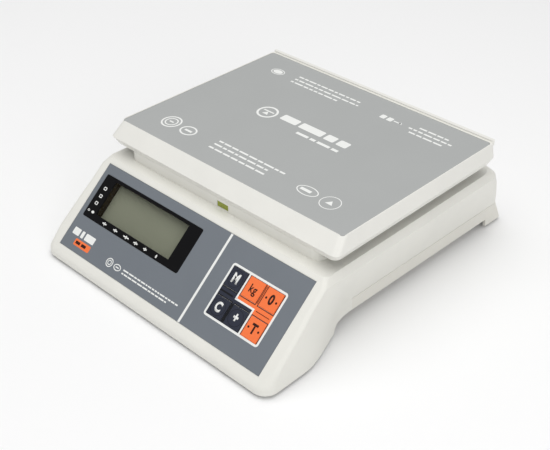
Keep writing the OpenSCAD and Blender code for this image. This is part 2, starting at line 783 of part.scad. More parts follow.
// Rocker switch under the right-hand side, pressed through the floor
module power_switch() {
    color("black") translate([switch_x, switch_y, 0]) difference() {
        union() {
            translate([0, 0, floor_z - 2]) block(16, 23, 2);
            translate([0, 0, floor_z - eps]) block(12.8, 19.8, 15);
        }
        translate([0, 0, floor_z - 3]) block(10.8, 18.6, 9);
        rocker_axis(12, rocker_pin_r + thread_gap);
    }
}
module rocker_axis(length, r) {
    translate([-length / 2, 0, rocker_z]) rotate([0, 90, 0])
        cylinder(r = r, h = length, $fn = small);
}
module power_rocker() {
    color("black") translate([switch_x, switch_y, 0]) rocker_axis(11.8, rocker_pin_r);
    color("black") translate([switch_x, switch_y, rocker_z]) rotate([-rocker_tilt, 0, 0])
        rotate([90, 0, 90]) translate([0, 0, -5.2]) linear_extrude(10.4)
            polygon([[-8.5, 2.5], [-8.5, -1.6], [0, -0.4], [8.5, -1.6], [8.5, 2.5], [0, 3.4]]);
}

// Low-voltage inlet in the rear wall, with its centre pin
module dc_jack() {
    color("black") {
        difference() {
            union() {
                translate([jack_x, jack_face_y - 13, floor_top]) block(10, 14, 9.5);
                translate([jack_x, jack_face_y, jack_z]) rotate([90, 0, 0])
                    cylinder(r = jack_r, h = 10, $fn = fine);
            }
            translate([jack_x, jack_face_y + 1, jack_z]) rotate([90, 0, 0])
                cylinder(r = 2.8, h = 11, $fn = fine);
        }
        translate([jack_x, jack_face_y - 1, jack_z]) rotate([90, 0, 0])
            cylinder(r = 1.05, h = 10, $fn = small);
    }
}

module housing_screws() {
    color("silver") for (s = screw_places) {
        post(s[0], s[1], floor_z - 2, floor_z, 3);
        post(s[0], s[1], floor_z - eps, screw_top, screw_r);
    }
}

// Held cables, each between two of the parts above
module cell_cable() {
    color("gray") tube(route([[-60, mid_y + cell_w / 2, 37], [-60, 52, 37], [-52, 62, 30],
        [-46, 84, 31], [-42, 110, 36], [-40, 126, 38], [-33.8, 123, 34]]), 1.8);
}
module battery_leads() {
    color("firebrick") for (s = [-1, 1])
        tube(route([[battery_x + 40.7, battery_y + s * 24, 64], [4 - s * 2, -33 + s * 20, 64],
            [10 - s * 2, -8, 52], [14 - s * 2, 3, 36], [20 - s * 2, 5, 18],
            [28 - s * 2, 30 + s, 18], [29 - s * 2, 48, 26], [30 - s * 2, 58, 38],
            [30 - s * 2, 66, 40], [30 - s * 2, 66, 32.7]]), 0.9);
}
module display_cable() {
    color("lightgray") tube(route([[-20, -92.4, 46.3], [-20, -85.8, 38.7], [-14, -81, 36],
        [4, -77, 32], [8, -60, 28], [8, -40, 22], [7, -10, 17], [2, 30, 17], [0, 52, 20],
        [-1, 58, 38], [-2, 66, 42], [-2, 66, 33.7]]), 2);
}
module key_cable() {
    color("lightgray") tube(route([[76, -112.6, 37.5], [76, -106, 29.9], [68, -92, 24],
        [50, -70, 20], [30, -40, 17], [20, -10, 17], [13, 10, 17], [11, 44, 18], [8, 57, 36],
        [5, 66, 42], [5, 66, 33.7]]), 1.6);
}

// Levelling feet: a stud in the floor boss and a rubber cup under its flange
module stud(x, y) {
    color("silver") translate([x, y, 0]) {
        post(0, 0, 4.3, 6.3, flange_r);
        translate([0, 0, 6.3 - eps]) cylinder(r = stud_r, h = stud_top - 6.3, $fn = fine);
    }
}
module sole(x, y) {
    color("dimgray") translate([x, y, 0]) difference() {
        cylinder(r = sole_r, h = sole_h, $fn = fine);
        translate([0, 0, 4]) cylinder(r = flange_r + 0.3, h = sole_h, $fn = fine);
    }
}
module stud_front_left() { stud(-foot_x_front, foot_y_front); }
module stud_front_right() { stud(foot_x_front, foot_y_front); }
module stud_rear_left() { stud(-foot_x_rear, foot_y_rear); }
module stud_rear_right() { stud(foot_x_rear, foot_y_rear); }
module sole_front_left() { sole(-foot_x_front, foot_y_front); }
module sole_front_right() { sole(foot_x_front, foot_y_front); }
module sole_rear_left() { sole(-foot_x_rear, foot_y_rear); }
module sole_rear_right() { sole(foot_x_rear, foot_y_rear); }

lower_housing();
upper_housing();
panel_overlay();
display_window();
lcd_bezel();
lcd_glass();
display_board();
display_posts();
key_total();
key_unit();
key_zero();
key_clear();
key_sum();
key_tare();
key_board();
tact_switches();
panel_screws();
level_vial();
level_holder();
load_cell();
cell_base_block();
cell_top_block();
cell_base_bolts();
cell_top_bolts();
overload_stops();
spider();
pan_cushions();
pan();
pan_sheet();
main_board();
board_components();
board_screws();
battery();
battery_tabs();
battery_door();
power_switch();
power_rocker();
dc_jack();
housing_screws();
cell_cable();
battery_leads();
display_cable();
key_cable();
stud_front_left();
stud_front_right();
stud_rear_left();
stud_rear_right();
sole_front_left();
sole_front_right();
sole_rear_left();
sole_rear_right();
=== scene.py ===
import math
import random

import bmesh
import bpy
from mathutils import Matrix, Vector


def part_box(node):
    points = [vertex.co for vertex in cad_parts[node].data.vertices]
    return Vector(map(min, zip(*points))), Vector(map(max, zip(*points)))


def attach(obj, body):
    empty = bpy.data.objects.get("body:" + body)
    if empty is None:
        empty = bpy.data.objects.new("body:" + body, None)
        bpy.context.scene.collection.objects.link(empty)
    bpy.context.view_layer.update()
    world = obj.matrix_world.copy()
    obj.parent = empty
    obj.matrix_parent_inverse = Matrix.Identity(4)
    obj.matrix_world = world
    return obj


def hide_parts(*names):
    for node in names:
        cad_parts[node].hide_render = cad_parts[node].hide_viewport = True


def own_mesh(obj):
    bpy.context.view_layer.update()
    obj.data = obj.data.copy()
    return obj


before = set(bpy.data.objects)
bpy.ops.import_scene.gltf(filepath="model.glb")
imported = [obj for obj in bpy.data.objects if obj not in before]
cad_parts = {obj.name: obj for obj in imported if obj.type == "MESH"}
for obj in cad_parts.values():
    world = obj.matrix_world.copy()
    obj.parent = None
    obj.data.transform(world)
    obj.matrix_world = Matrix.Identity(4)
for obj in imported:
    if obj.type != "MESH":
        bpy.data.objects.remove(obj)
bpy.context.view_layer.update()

scene = bpy.context.scene
MM = 0.001

# ---- Moulded body -------------------------------------------------------------------------
# Two injection mouldings in off-white ABS with a fine satin grain. The upper one carries the
# panel, shoulder and deck; the lower one is the floor and rear wall, screwed up from below.


def tone(red, green, blue):
    """A colour given as 0 to 255 display values, in the shader's linear light."""
    parts = [value / 255 for value in (red, green, blue)]
    linear = [c / 12.92 if c <= 0.04045 else ((c + 0.055) / 1.055) ** 2.4 for c in parts]
    return (*linear, 1.0)


def finish(name, colour, roughness, grain=1400, height=0.012, spread=0.06, shade=0.04,
           metallic=0.0, specular=0.5, cloud=35):
    """A material with a fine grain in its relief, patchy gloss and a slight drift of tone."""
    material = bpy.data.materials.new(name)
    material.use_nodes = True
    nodes, links = material.node_tree.nodes, material.node_tree.links
    shader = nodes["Principled BSDF"]
    shader.inputs["Metallic"].default_value = metallic
    shader.inputs["Specular IOR Level"].default_value = specular
    place = nodes.new("ShaderNodeTexCoord")
    patches = nodes.new("ShaderNodeTexNoise")
    patches.inputs["Scale"].default_value = cloud
    patches.inputs["Detail"].default_value = 4
    links.new(place.outputs["Object"], patches.inputs["Vector"])
    gloss = nodes.new("ShaderNodeMapRange")
    gloss.inputs["To Min"].default_value = roughness - spread
    gloss.inputs["To Max"].default_value = roughness + spread
    links.new(patches.outputs["Fac"], gloss.inputs["Value"])
    links.new(gloss.outputs["Result"], shader.inputs["Roughness"])
    drift = nodes.new("ShaderNodeMix")
    drift.data_type = "RGBA"
    drift.inputs[6].default_value = [c * (1 - shade) for c in colour[:3]] + [1]
    drift.inputs[7].default_value = [min(1, c * (1 + shade)) for c in colour[:3]] + [1]
    links.new(patches.outputs["Fac"], drift.inputs[0])
    links.new(drift.outputs[2], shader.inputs["Base Color"])
    pits = nodes.new("ShaderNodeTexNoise")
    pits.inputs["Scale"].default_value = grain
    pits.inputs["Detail"].default_value = 3
    links.new(place.outputs["Object"], pits.inputs["Vector"])
    relief = nodes.new("ShaderNodeBump")
    relief.inputs["Strength"].default_value = 0.35
    relief.inputs["Distance"].default_value = height * MM
    links.new(pits.outputs["Fac"], relief.inputs["Height"])
    links.new(relief.outputs["Normal"], shader.inputs["Normal"])
    return material


def finished_mesh(bm, name):
    """Turns a finished bmesh into a mesh and frees it."""
    mesh = bpy.data.meshes.new(name)
    bm.to_mesh(mesh)
    bm.free()
    return mesh


def add_piece(name, mesh, material, body, stands_for=()):
    """Puts a finished mesh in the scene, on its body, with its material, and hides the CAD parts
    it stands for.
    """
    mesh.materials.clear()
    mesh.materials.append(material)
    piece = bpy.data.objects.new(name, mesh)
    scene.collection.objects.link(piece)
    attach(piece, body)
    if stands_for:
        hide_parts(*stands_for)
    return piece


def soften(piece, width, segments=2, above=28):
    """Rounds the edges that a mould or a cutter would leave rounded."""
    bevel = piece.modifiers.new("rounded_edges", "BEVEL")
    bevel.width = width * MM
    bevel.segments = segments
    bevel.limit_method = "ANGLE"
    bevel.angle_limit = math.radians(above)
    bevel.use_clamp_overlap = True
    even = piece.modifiers.new("even_faces", "WEIGHTED_NORMAL")
    even.keep_sharp = True
    return piece


def moulded(node, name, body, material, width=0.5, segments=2, above=28):
    """The CAD piece again, merged and cleaned, with rounded edges and smooth faces."""
    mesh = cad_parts[node].data.copy()
    mesh.name = name
    for layer in ("custom_normal", "sharp_edge", "sharp_face"):
        if layer in mesh.attributes:
            mesh.attributes.remove(mesh.attributes[layer])
    bm = bmesh.new()
    bm.from_mesh(mesh)
    bmesh.ops.remove_doubles(bm, verts=bm.verts, dist=0.002 * MM)
    bmesh.ops.dissolve_limit(bm, angle_limit=math.radians(0.4), verts=bm.verts, edges=bm.edges)
    for face in bm.faces:
        face.smooth = True
    bm.to_mesh(mesh)
    bm.free()
    piece = add_piece(name, mesh, material, body, (node,))
    if width:
        soften(piece, width, segments, above)
    return piece


body_abs = finish("body_abs", tone(232, 231, 224), 0.42, grain=1900, height=0.02)
floor_abs = finish("floor_abs", tone(226, 224, 216), 0.46, grain=1900, height=0.02)
moulded("upper_housing", "upper_shell", "housing", body_abs, 0.5, 3)
moulded("lower_housing", "lower_shell", "housing", floor_abs, 0.5)

# ---- Platform tray ------------------------------------------------------------------------
# A deep tray moulded in the same off-white ABS, with a wide front bevel and a low lip at the
# back. It lifts straight off the four rubber cushions of the spider.

tray_abs = finish("tray_abs", tone(235, 234, 228), 0.36, grain=2200, height=0.014)
moulded("pan", "platform_tray", "platform", tray_abs, 0.9, 3, 25)

# ---- Weighing surface ---------------------------------------------------------------------
# A flat steel sheet with grey lacquer, laid in the tray's recess. Its marks are white screen
# printing: generic bars and rings with no wording.


def rectangle(bm, low_x, low_y, high_x, high_y):
    """A flat printed rectangle between two corners, in millimetres."""
    size = Matrix.Diagonal(((high_x - low_x), (high_y - low_y), 1, 1))
    place = Matrix.Translation(((low_x + high_x) / 2, (low_y + high_y) / 2, 0))
    return bmesh.ops.create_grid(bm, x_segments=1, y_segments=1, size=0.5, matrix=place @ size)


def oval(bm, x, y, wide, high, line=None, segments=40):
    """A printed oval, either filled or as an outline of the given line width."""
    size = Matrix.Diagonal((wide / 2, high / 2, 1, 1))
    made = bmesh.ops.create_circle(bm, cap_ends=True, segments=segments, radius=1,
                                   matrix=Matrix.Translation((x, y, 0)) @ size)
    if line:
        disc = made["verts"][0].link_faces[0]
        bmesh.ops.inset_region(bm, faces=[disc], thickness=line, use_boundary=True,
                               use_even_offset=True)
        bmesh.ops.delete(bm, geom=[disc], context="FACES_ONLY")


def rounded_frame(bm, low_x, low_y, high_x, high_y, radius, line):
    """A printed outline of a rectangle with rounded corners."""
    earlier = set(bm.faces)
    made = rectangle(bm, low_x, low_y, high_x, high_y)
    bmesh.ops.bevel(bm, geom=made["verts"], offset=radius, segments=5, profile=0.5,
                    affect="VERTICES", material=-1)
    plate = max((f for f in bm.faces if f not in earlier), key=lambda f: f.calc_area())
    if line:
        bmesh.ops.inset_region(bm, faces=[plate], thickness=line, use_boundary=True,
                               use_even_offset=True)
        bmesh.ops.delete(bm, geom=[plate], context="FACES_ONLY")


def dashes(bm, low_x, high_x, y, height, draw):
    """A row of short bars that stands for a printed line of small wording."""
    x = low_x
    while x < high_x - height:
        word = min(high_x - x, height * draw.uniform(1.6, 5.5))
        rectangle(bm, x, y - height / 2, x + word, y + height / 2)
        x += word + height * 0.7


def lay_sheet(bm, thickness, lift, place):
    """Thickens flat faces in millimetres and lays them at a height over their surface."""
    bmesh.ops.solidify(bm, geom=bm.faces[:], thickness=thickness)
    bmesh.ops.recalc_face_normals(bm, faces=bm.faces)
    top = max(v.co.z for v in bm.verts)
    bmesh.ops.translate(bm, vec=(0, 0, lift - top), verts=bm.verts)
    bmesh.ops.scale(bm, vec=(MM, MM, MM), verts=bm.verts)
    bmesh.ops.transform(bm, matrix=place, verts=bm.verts)


def printed(bm, name, material, body, place, lift=0.03, thickness=0.05):
    """Gives flat marks the thickness of their ink and lays them on their surface."""
    lay_sheet(bm, thickness, lift, place)
    return add_piece(name, finished_mesh(bm, name), material, body)


lacquer = finish("grey_lacquer", tone(171, 173, 172), 0.38, grain=2600, height=0.008,
                 shade=0.025, cloud=22)
moulded("pan_sheet", "weighing_sheet", "platform", lacquer, 0.25, 2)

sheet_low, sheet_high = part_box("pan_sheet")
sheet_centre = (sheet_low + sheet_high) / 2
sheet_place = Matrix.Translation((sheet_centre.x, sheet_centre.y, sheet_high.z))
white_ink = finish("white_ink", tone(238, 239, 236), 0.5, grain=3000, height=0.004, shade=0.02)
draw = random.Random(7)

marks = bmesh.new()
oval(marks, -94.8, 66.8, 15, 10.5, 0.9)
oval(marks, -94.8, 66.8, 10.5, 6.6)
for y, high_x in ((73, 4), (67, 4), (61.3, -16)):
    dashes(marks, -72.8, high_x, y, 2.0, draw)
for x in (30, 37.5):
    rounded_frame(marks, x, 64.5, x + 5.5, 70.5, 1, None)
rectangle(marks, 44.5, 66.8, 52, 68.2)
oval(marks, 51.6, 67.5, 4.4, 4.4, None, 3)
for y, low_x, high_x in ((73, 68.5, 99), (67.3, 61, 106), (61.5, 65.5, 102)):
    dashes(marks, low_x, high_x, y, 2.0, draw)
printed(marks, "sheet_marks_rear", white_ink, "platform", sheet_place)

marks = bmesh.new()
oval(marks, -94, -66.3, 19, 19, 1.5)
oval(marks, -94, -66.3, 12.4, 12.4, 1.2)
rectangle(marks, -96.5, -67.1, -91.5, -65.5)
oval(marks, -71.5, -67, 17, 14.5, 1.5)
rectangle(marks, -75.6, -68.2, -67.4, -65.8)
for y, high_x in ((-60.5, 36.8), (-66.3, 23), (-72.5, 25)):
    dashes(marks, -39.5, high_x, y, 2.0, draw)
oval(marks, 66.8, -66.3, 21, 12.5, 0.9)
dashes(marks, 59.5, 74.5, -66.3, 3.2, draw)
oval(marks, 91, -66.8, 18, 18, 0.7)
oval(marks, 91, -67.4, 8, 7, None, 3)
printed(marks, "sheet_marks_front", white_ink, "platform", sheet_place)

# The middle mark is a plain emblem: a level beam on its pivot in a ring, then blank bars.
marks = bmesh.new()
oval(marks, -46, 3.5, 20, 20, 2.0)
rectangle(marks, -52, 4.6, -40, 6.2)
oval(marks, -46, 1.2, 7.5, 6.5, None, 3)
for low_x, high_x in ((-31, -12), (-9, 17), (20, 31), (34, 45)):
    rounded_frame(marks, low_x, 2.5, high_x, 11.5, 1.5, None)
dashes(marks, -2.8, 44, -5.2, 3.2, draw)
printed(marks, "sheet_marks_middle", white_ink, "platform", sheet_place)

# ---- Control panel film -------------------------------------------------------------------
# A printed polyester film set in a shallow recess of the sloping front. Slate grey ground,
# a white divider, and a keypad field in dark navy and orange inside a white border.

slope = math.radians(40.9)
film_recess = 0.6 * MM
film_top = -0.1
film_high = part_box("panel_overlay")[1]
panel = (Matrix.Translation((0, film_high.y - film_recess * math.sin(slope),
                             film_high.z - film_top * MM * math.cos(slope)))
         @ Matrix.Rotation(slope, 4, "X"))
film_place = panel @ Matrix.Translation((0, 0, film_top * MM))

film_ink = finish("film_ground", tone(113, 119, 126), 0.42, grain=2400, height=0.01,
                  shade=0.03)
moulded("panel_overlay", "panel_film", "housing", film_ink, 0.15, 1)

divider_x = 32.8
pad_left, pad_right, pad_top, pad_bottom = 48.6, 107.8, -18.4, -65.1
pad_line = 1.8
step_x, step_y, turn_x = 68.2, -42, 87.3
film_marks = bmesh.new()
rectangle(film_marks, divider_x - 1.1, -81.3, divider_x + 1.1, -0.3)
rounded_frame(film_marks, pad_left, pad_bottom, pad_right, pad_top, 2.6, pad_line)
rectangle(film_marks, step_x - 0.8, step_y, step_x + 0.8, pad_top - pad_line)
rectangle(film_marks, step_x - 0.8, step_y - 0.8, turn_x + 0.8, step_y + 0.8)
rectangle(film_marks, turn_x - 0.8, pad_bottom + pad_line, turn_x + 0.8, step_y - 0.8)
oval(film_marks, -61, -72.1, 8, 8, 0.8)
oval(film_marks, -61, -72.1, 4.4, 4.4, 0.7)
oval(film_marks, -50.8, -72.2, 8.6, 5.8, 0.8)
rectangle(film_marks, -52.8, -72.7, -48.8, -71.7)
dashes(film_marks, -43.6, 23.9, -71.0, 1.2, draw)
dashes(film_marks, -43.6, 12.3, -74.0, 1.2, draw)
for low_x, high_x in ((-116, -107.5), (-105.5, -102), (-100, -87.7)):
    rounded_frame(film_marks, low_x, -68.3, high_x, -62, 0.8, None)
printed(film_marks, "film_marks", white_ink, "housing", film_place)

# ---- Keypad fields ------------------------------------------------------------------------
# Two inks under the keys: navy on the left, orange on the right, with a stepped border.


def pierced(bm, corners, holes):
    """A flat sheet between two corners with rectangular openings."""
    rectangle(bm, *corners)
    for cut in sorted({edge for hole in holes for edge in (hole[0], hole[2])}):
        bmesh.ops.bisect_plane(bm, geom=bm.verts[:] + bm.edges[:] + bm.faces[:],
                               plane_co=(cut, 0, 0), plane_no=(1, 0, 0))
    for cut in sorted({edge for hole in holes for edge in (hole[1], hole[3])}):
        bmesh.ops.bisect_plane(bm, geom=bm.verts[:] + bm.edges[:] + bm.faces[:],
                               plane_co=(0, cut, 0), plane_no=(0, 1, 0))
    inside = [f for f in bm.faces for c in [f.calc_center_median()]
              if any(h[0] < c.x < h[2] and h[1] < c.y < h[3] for h in holes)]
    bmesh.ops.delete(bm, geom=inside, context="FACES")


def panel_centre(node):
    """Where a piece of the panel sits, in millimetres across and up the slope."""
    low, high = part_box(node)
    return panel.inverted() @ ((low + high) / 2) / MM


key_half_w, key_half_d, key_gap = 8, 8.5, 0.35
keys = {node: panel_centre(node) for node in
        ("key_total", "key_unit", "key_zero", "key_clear", "key_sum", "key_tare")}
openings = [(c.x - key_half_w - key_gap, c.y - key_half_d - key_gap,
             c.x + key_half_w + key_gap, c.y + key_half_d + key_gap)
            for c in keys.values()]
dark_part = (pad_left + 1, step_y, step_x, pad_top - 1)
dark_foot = (pad_left + 1, pad_bottom + 1, turn_x, step_y)
bright_part = (step_x, step_y, pad_right - 1, pad_top - 1)
bright_foot = (turn_x, pad_bottom + 1, pad_right - 1, step_y)
navy_ink = finish("navy_ink", tone(42, 46, 60), 0.42, grain=2400, height=0.008, specular=0.3)
orange_ink = finish("orange_ink", tone(248, 122, 66), 0.45, grain=2400, height=0.008,
                    specular=0.3)
for name, ink, parts in (("navy_field", navy_ink, (dark_part, dark_foot)),
                         ("orange_field", orange_ink, (bright_part, bright_foot))):
    field = bmesh.new()
    for corners in parts:
        part = bmesh.new()
        inside = [h for h in openings if corners[0] < (h[0] + h[2]) / 2 < corners[2]
                  and corners[1] < (h[1] + h[3]) / 2 < corners[3]]
        pierced(part, corners, inside)
        spare = bpy.data.meshes.new("spare")
        part.to_mesh(spare)
        part.free()
        field.from_mesh(spare)
        bpy.data.meshes.remove(spare)
    bmesh.ops.remove_doubles(field, verts=field.verts, dist=0.001)
    printed(field, name, ink, "housing", film_place, 0.015)

tag_bars = bmesh.new()
dashes(tag_bars, -106.4, -89.5, -73.2, 2.6, draw)
tag = bmesh.new()
rounded_frame(tag, -108.2, -76.2, -87.7, -70.2, 1.2, None)
printed(tag, "orange_tag", orange_ink, "housing", film_place, 0.02)

# ---- Keys ---------------------------------------------------------------------------------
# Six embossed caps that stand just proud of the film. Each has one printed sign and moves with
# its own key. A fine dark outline round each cap, on the film, is painted shade for its groove.


def lettering(text, height, x, y, weight=0.045, narrow=0.82):
    """Plain printed characters centred on a place, as a flat mesh in millimetres."""
    curve = bpy.data.curves.new("lettering", "FONT")
    curve.body = text
    curve.align_x, curve.align_y = "CENTER", "CENTER"
    curve.size = height
    curve.offset = height * weight / len(text)
    curve.space_character = 1.12
    carrier = bpy.data.objects.new("lettering", curve)
    scene.collection.objects.link(carrier)
    bpy.context.view_layer.update()
    mesh = bpy.data.meshes.new_from_object(
        carrier.evaluated_get(bpy.context.evaluated_depsgraph_get()))
    bpy.data.objects.remove(carrier)
    bpy.data.curves.remove(curve)
    mesh.transform(Matrix.Translation((x, y, 0)) @ Matrix.Diagonal((narrow, 1, 1, 1)))
    return mesh


key_top = 0.5
dark_ink = finish("dark_ink", tone(58, 24, 16), 0.5, grain=2400, height=0.004, specular=0.2)
printed(tag_bars, "tag_bars", dark_ink, "housing", film_place, 0.05)
# Dark inks of painted shade for the grooves round the keys; the navy one also draws the dome
# rings.
key_shade_inks = {True: finish("navy_key_shade", tone(20, 21, 26), 0.5, specular=0.2),
                False: finish("brown_key_shade", tone(120, 52, 26), 0.5, specular=0.2)}
signs = {"key_total": "M", "key_unit": "kg", "key_zero": "0", "key_clear": "C",
         "key_sum": "+", "key_tare": "T"}
for node, centre in keys.items():
    is_dark = node in ("key_total", "key_clear", "key_sum")
    slot = "key_dark" if is_dark else "key_orange"
    moulded(node, node.replace("key_", "cap_"), node, navy_ink if is_dark else orange_ink,
            0.35, 3)
    key_place = panel @ Matrix.Translation((0, 0, key_top * MM))
    glyph = lettering(signs[node], 11 if len(signs[node]) < 2 else 9.5, centre.x, centre.y)
    sign = bmesh.new()
    sign.from_mesh(glyph)
    bpy.data.meshes.remove(glyph)
    if node in ("key_zero", "key_tare"):
        for side in (-1, 1):
            oval(sign, centre.x + side * 5.2, centre.y, 1.9, 1.9, None, 16)
    printed(sign, node.replace("key_", "sign_"), white_ink if is_dark else dark_ink, node,
            key_place)
    # The dark outline round each cap is painted shade for the groove at its edge.
    edge = bmesh.new()
    rounded_frame(edge, centre.x - 8.95, centre.y - 9.45, centre.x + 8.95, centre.y + 9.45, 0.5,
                  0.6)
    printed(edge, node.replace("key_", "key_shade_"), key_shade_inks[is_dark], "housing",
            film_place, 0.023)
    # The dark keys also get a thin ring round the dome, in the navy shade ink.
    if is_dark:
        dome = bmesh.new()
        oval(dome, centre.x, centre.y, 14.0, 14.0, 0.3)
        printed(dome, node.replace("key_", "dome_"), key_shade_inks[is_dark], node, key_place,
                0.02)

# Dark bars of painted shade fill the grooves between neighbouring keys of one colour.
groove_shade = bmesh.new()
rectangle(groove_shade, 51, -42.6, 65, -41.2)
rectangle(groove_shade, 67.6, -62.6, 69.3, -46.6)
printed(groove_shade, "navy_groove_shade", key_shade_inks[True], "housing", film_place, 0.03)
groove_shade = bmesh.new()
rectangle(groove_shade, 90, -42.4, 104, -41.7)
rectangle(groove_shade, 87.0, -37, 87.6, -21.5)
printed(groove_shade, "orange_groove_shade", key_shade_inks[False], "housing", film_place, 0.03)

# ---- Display window -----------------------------------------------------------------------
# A flat lens with a black border printed behind it and a clear opening over the glass of the
# display. Small white signs stand down its left edge and under the opening.

black_border = finish("black_border", tone(13, 13, 15), 0.3, grain=2400, height=0.003,
                      spread=0.04, specular=0.12)
window_centre = panel_centre("display_window")
glass_centre = panel_centre("lcd_bezel")
window_half_w, window_half_d = 61.55, 20.7
glass_half_w, glass_half_d = 47.3, 16.3
border = bmesh.new()
pierced(border, (window_centre.x - window_half_w, window_centre.y - window_half_d,
                 window_centre.x + window_half_w, window_centre.y + window_half_d),
        [(glass_centre.x - glass_half_w, glass_centre.y - glass_half_d,
          glass_centre.x + glass_half_w, glass_centre.y + glass_half_d)])
border_recess, border_thickness = 0.15, 1.2
lay_sheet(border, border_thickness, -border_recess, panel)
window_border = add_piece("window_border", finished_mesh(border, "window_border"), black_border,
                          "housing")
soften(window_border, 0.12, 2)

lens = bmesh.new()
rectangle(lens, glass_centre.x - glass_half_w - 0.2, glass_centre.y - glass_half_d - 0.2,
          glass_centre.x + glass_half_w + 0.2, glass_centre.y + glass_half_d + 0.2)
lens_recess, lens_thickness = 0.45, 0.5
lay_sheet(lens, lens_thickness, -lens_recess, panel)
lens_clear = finish("lens_clear", tone(40, 44, 44), 0.08, grain=1500, height=0.001,
                    spread=0.02, specular=0.3)
lens_clear.node_tree.nodes["Principled BSDF"].inputs["Alpha"].default_value = 0.06
add_piece("window_lens", finished_mesh(lens, "window_lens"), lens_clear, "housing",
          ("display_window",))

window_marks = bmesh.new()
for y in (-21.2, -28.7, -35.7):
    rounded_frame(window_marks, -112.2, y - 1.5, -108.6, y + 1.5, 0.7, 0.7)
oval(window_marks, -108.3, -44, 3.4, 2.4)
oval(window_marks, -113.8, -44, 2.6, 2.0, 0.5)
for x, wide in ((-89.3, 5), (-74.7, 5), (-60.4, 7), (-48, 5), (-35.8, 4), (-21.6, 2)):
    rectangle(window_marks, x - wide / 2, -47.8, x + wide / 2, -46.7)
    rectangle(window_marks, x - 0.6, -48.6, x + 0.6, -45.9)
printed(window_marks, "window_marks", white_ink, "housing",
        panel @ Matrix.Translation((0, 0, -border_recess * MM)), 0.03)

# ---- Liquid-crystal display ---------------------------------------------------------------
# An olive-grey reflective glass, set 8 mm behind the lens in a dark frame, on nylon posts.

dark_frame = finish("dark_frame", tone(46, 38, 24), 0.6, grain=1600, height=0.02,
                    specular=0.1)
moulded("lcd_bezel", "display_frame", "housing", dark_frame, 0.2, 1)
olive_glass = finish("olive_glass", tone(142, 145, 126), 0.4, grain=1800, height=0.003,
                     shade=0.03, specular=0.2)
moulded("lcd_glass", "display_glass", "housing", olive_glass, 0.2, 1)
nylon = finish("natural_nylon", tone(222, 219, 208), 0.5)
moulded("display_posts", "glass_posts", "housing", nylon, 0)

# ---- Panel electronics --------------------------------------------------------------------
# Two green boards behind the panel on moulded posts: one carries the display, the other has
# the six switches under the keys. Small zinc-plated screws hold them.

solder_mask = finish("solder_mask", tone(28, 92, 52), 0.35, grain=420, height=0.03, shade=0.22,
                     cloud=160)
plated = finish("plated_steel", tone(196, 197, 200), 0.28, grain=900, height=0.006,
                metallic=1.0)
black_abs = finish("black_abs", tone(30, 30, 32), 0.48, grain=1500, height=0.02)
for node, name, slot in (("display_board", "display_circuit", "circuit_board"),
                         ("key_board", "key_circuit", "circuit_board"),
                         ("main_board", "main_circuit", "circuit_board")):
    moulded(node, name, "housing", solder_mask, 0.1, 1)
moulded("tact_switches", "key_switches", "housing", plated, 0.2, 1)
moulded("panel_screws", "panel_screw_set", "housing", plated, 0.2, 1)

# ---- Bubble level -------------------------------------------------------------------------
# A round vial of yellow-green liquid behind a small window in the front of the deck, with an
# air bubble under its clear top.

vial_low, vial_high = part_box("level_vial")
vial_centre = (vial_low + vial_high) / 2
level_liquid = finish("level_liquid", tone(178, 190, 60), 0.12, grain=700, height=0.002)
moulded("level_vial", "vial", "housing", level_liquid, 0.6, 3)
moulded("level_holder", "vial_holder", "housing", body_abs, 0.3, 2)
tinted = finish("tinted_window", tone(160, 170, 62), 0.25, grain=900, height=0.004)
tinted.node_tree.nodes["Principled BSDF"].inputs["Alpha"].default_value = 0.8
pane_wide, pane_thick, pane_high = 12.9, 0.8, 5.3
pane_y = vial_low.y - 1.8 * MM
level_pane = bmesh.new()
bmesh.ops.create_cube(level_pane, size=1)
bmesh.ops.scale(level_pane, vec=(pane_wide * MM, pane_thick * MM, pane_high * MM),
                verts=level_pane.verts)
bmesh.ops.translate(level_pane, verts=level_pane.verts,
                    vec=(vial_centre.x, pane_y, vial_low.z + pane_high / 2 * MM))
add_piece("level_pane", finished_mesh(level_pane, "level_pane"), tinted, "housing")
bubble_clear = finish("bubble_clear", tone(226, 232, 170), 0.08)
bubble_r, bubble_flatness = 2.2, 0.25
bubble = bmesh.new()
bmesh.ops.create_uvsphere(bubble, u_segments=24, v_segments=12, radius=bubble_r * MM)
bmesh.ops.scale(bubble, vec=(1, 1, bubble_flatness), verts=bubble.verts)
bmesh.ops.translate(bubble, verts=bubble.verts,
                    vec=(vial_centre.x, vial_centre.y, vial_high.z))
add_piece("vial_bubble", finished_mesh(bubble, "vial_bubble"), bubble_clear, "housing")

# ---- Load cell and spider -----------------------------------------------------------------
# A milled aluminium bar, bolted to the floor at one end through a spacer block. The other end
# carries a die-cast spider with four arms and rubber cushions. A stop screw guards it.

milled = finish("milled_aluminium", tone(214, 216, 220), 0.32, grain=500, height=0.012,
                metallic=1.0)
cast = finish("cast_aluminium", tone(178, 180, 184), 0.52, grain=700, height=0.06,
              metallic=1.0)
black_oxide = finish("black_oxide", tone(46, 46, 50), 0.4, grain=900, height=0.01,
                     metallic=0.7)
cushion_rubber = finish("cushion_rubber", tone(58, 58, 58), 0.75, grain=900, height=0.04)
for node, name, body, material, slot, width in (
        ("cell_base_block", "cell_spacer", "housing", milled, "cell_aluminium", 0.3),
        ("cell_top_block", "spider_spacer", "weighbridge", milled, "cell_aluminium", 0.3),
        ("cell_base_bolts", "floor_bolts", "housing", black_oxide, "black_steel", 0.4),
        ("cell_top_bolts", "spider_bolts", "weighbridge", black_oxide, "black_steel", 0.4),
        ("overload_stops", "stop_screw", "housing", black_oxide, "black_steel", 0.3),
        ("spider", "spider_casting", "weighbridge", cast, "cast_aluminium", 0.8),
        ("pan_cushions", "cushions", "weighbridge", cushion_rubber, "grey_rubber", 0.8)):
    moulded(node, name, body, material, width)

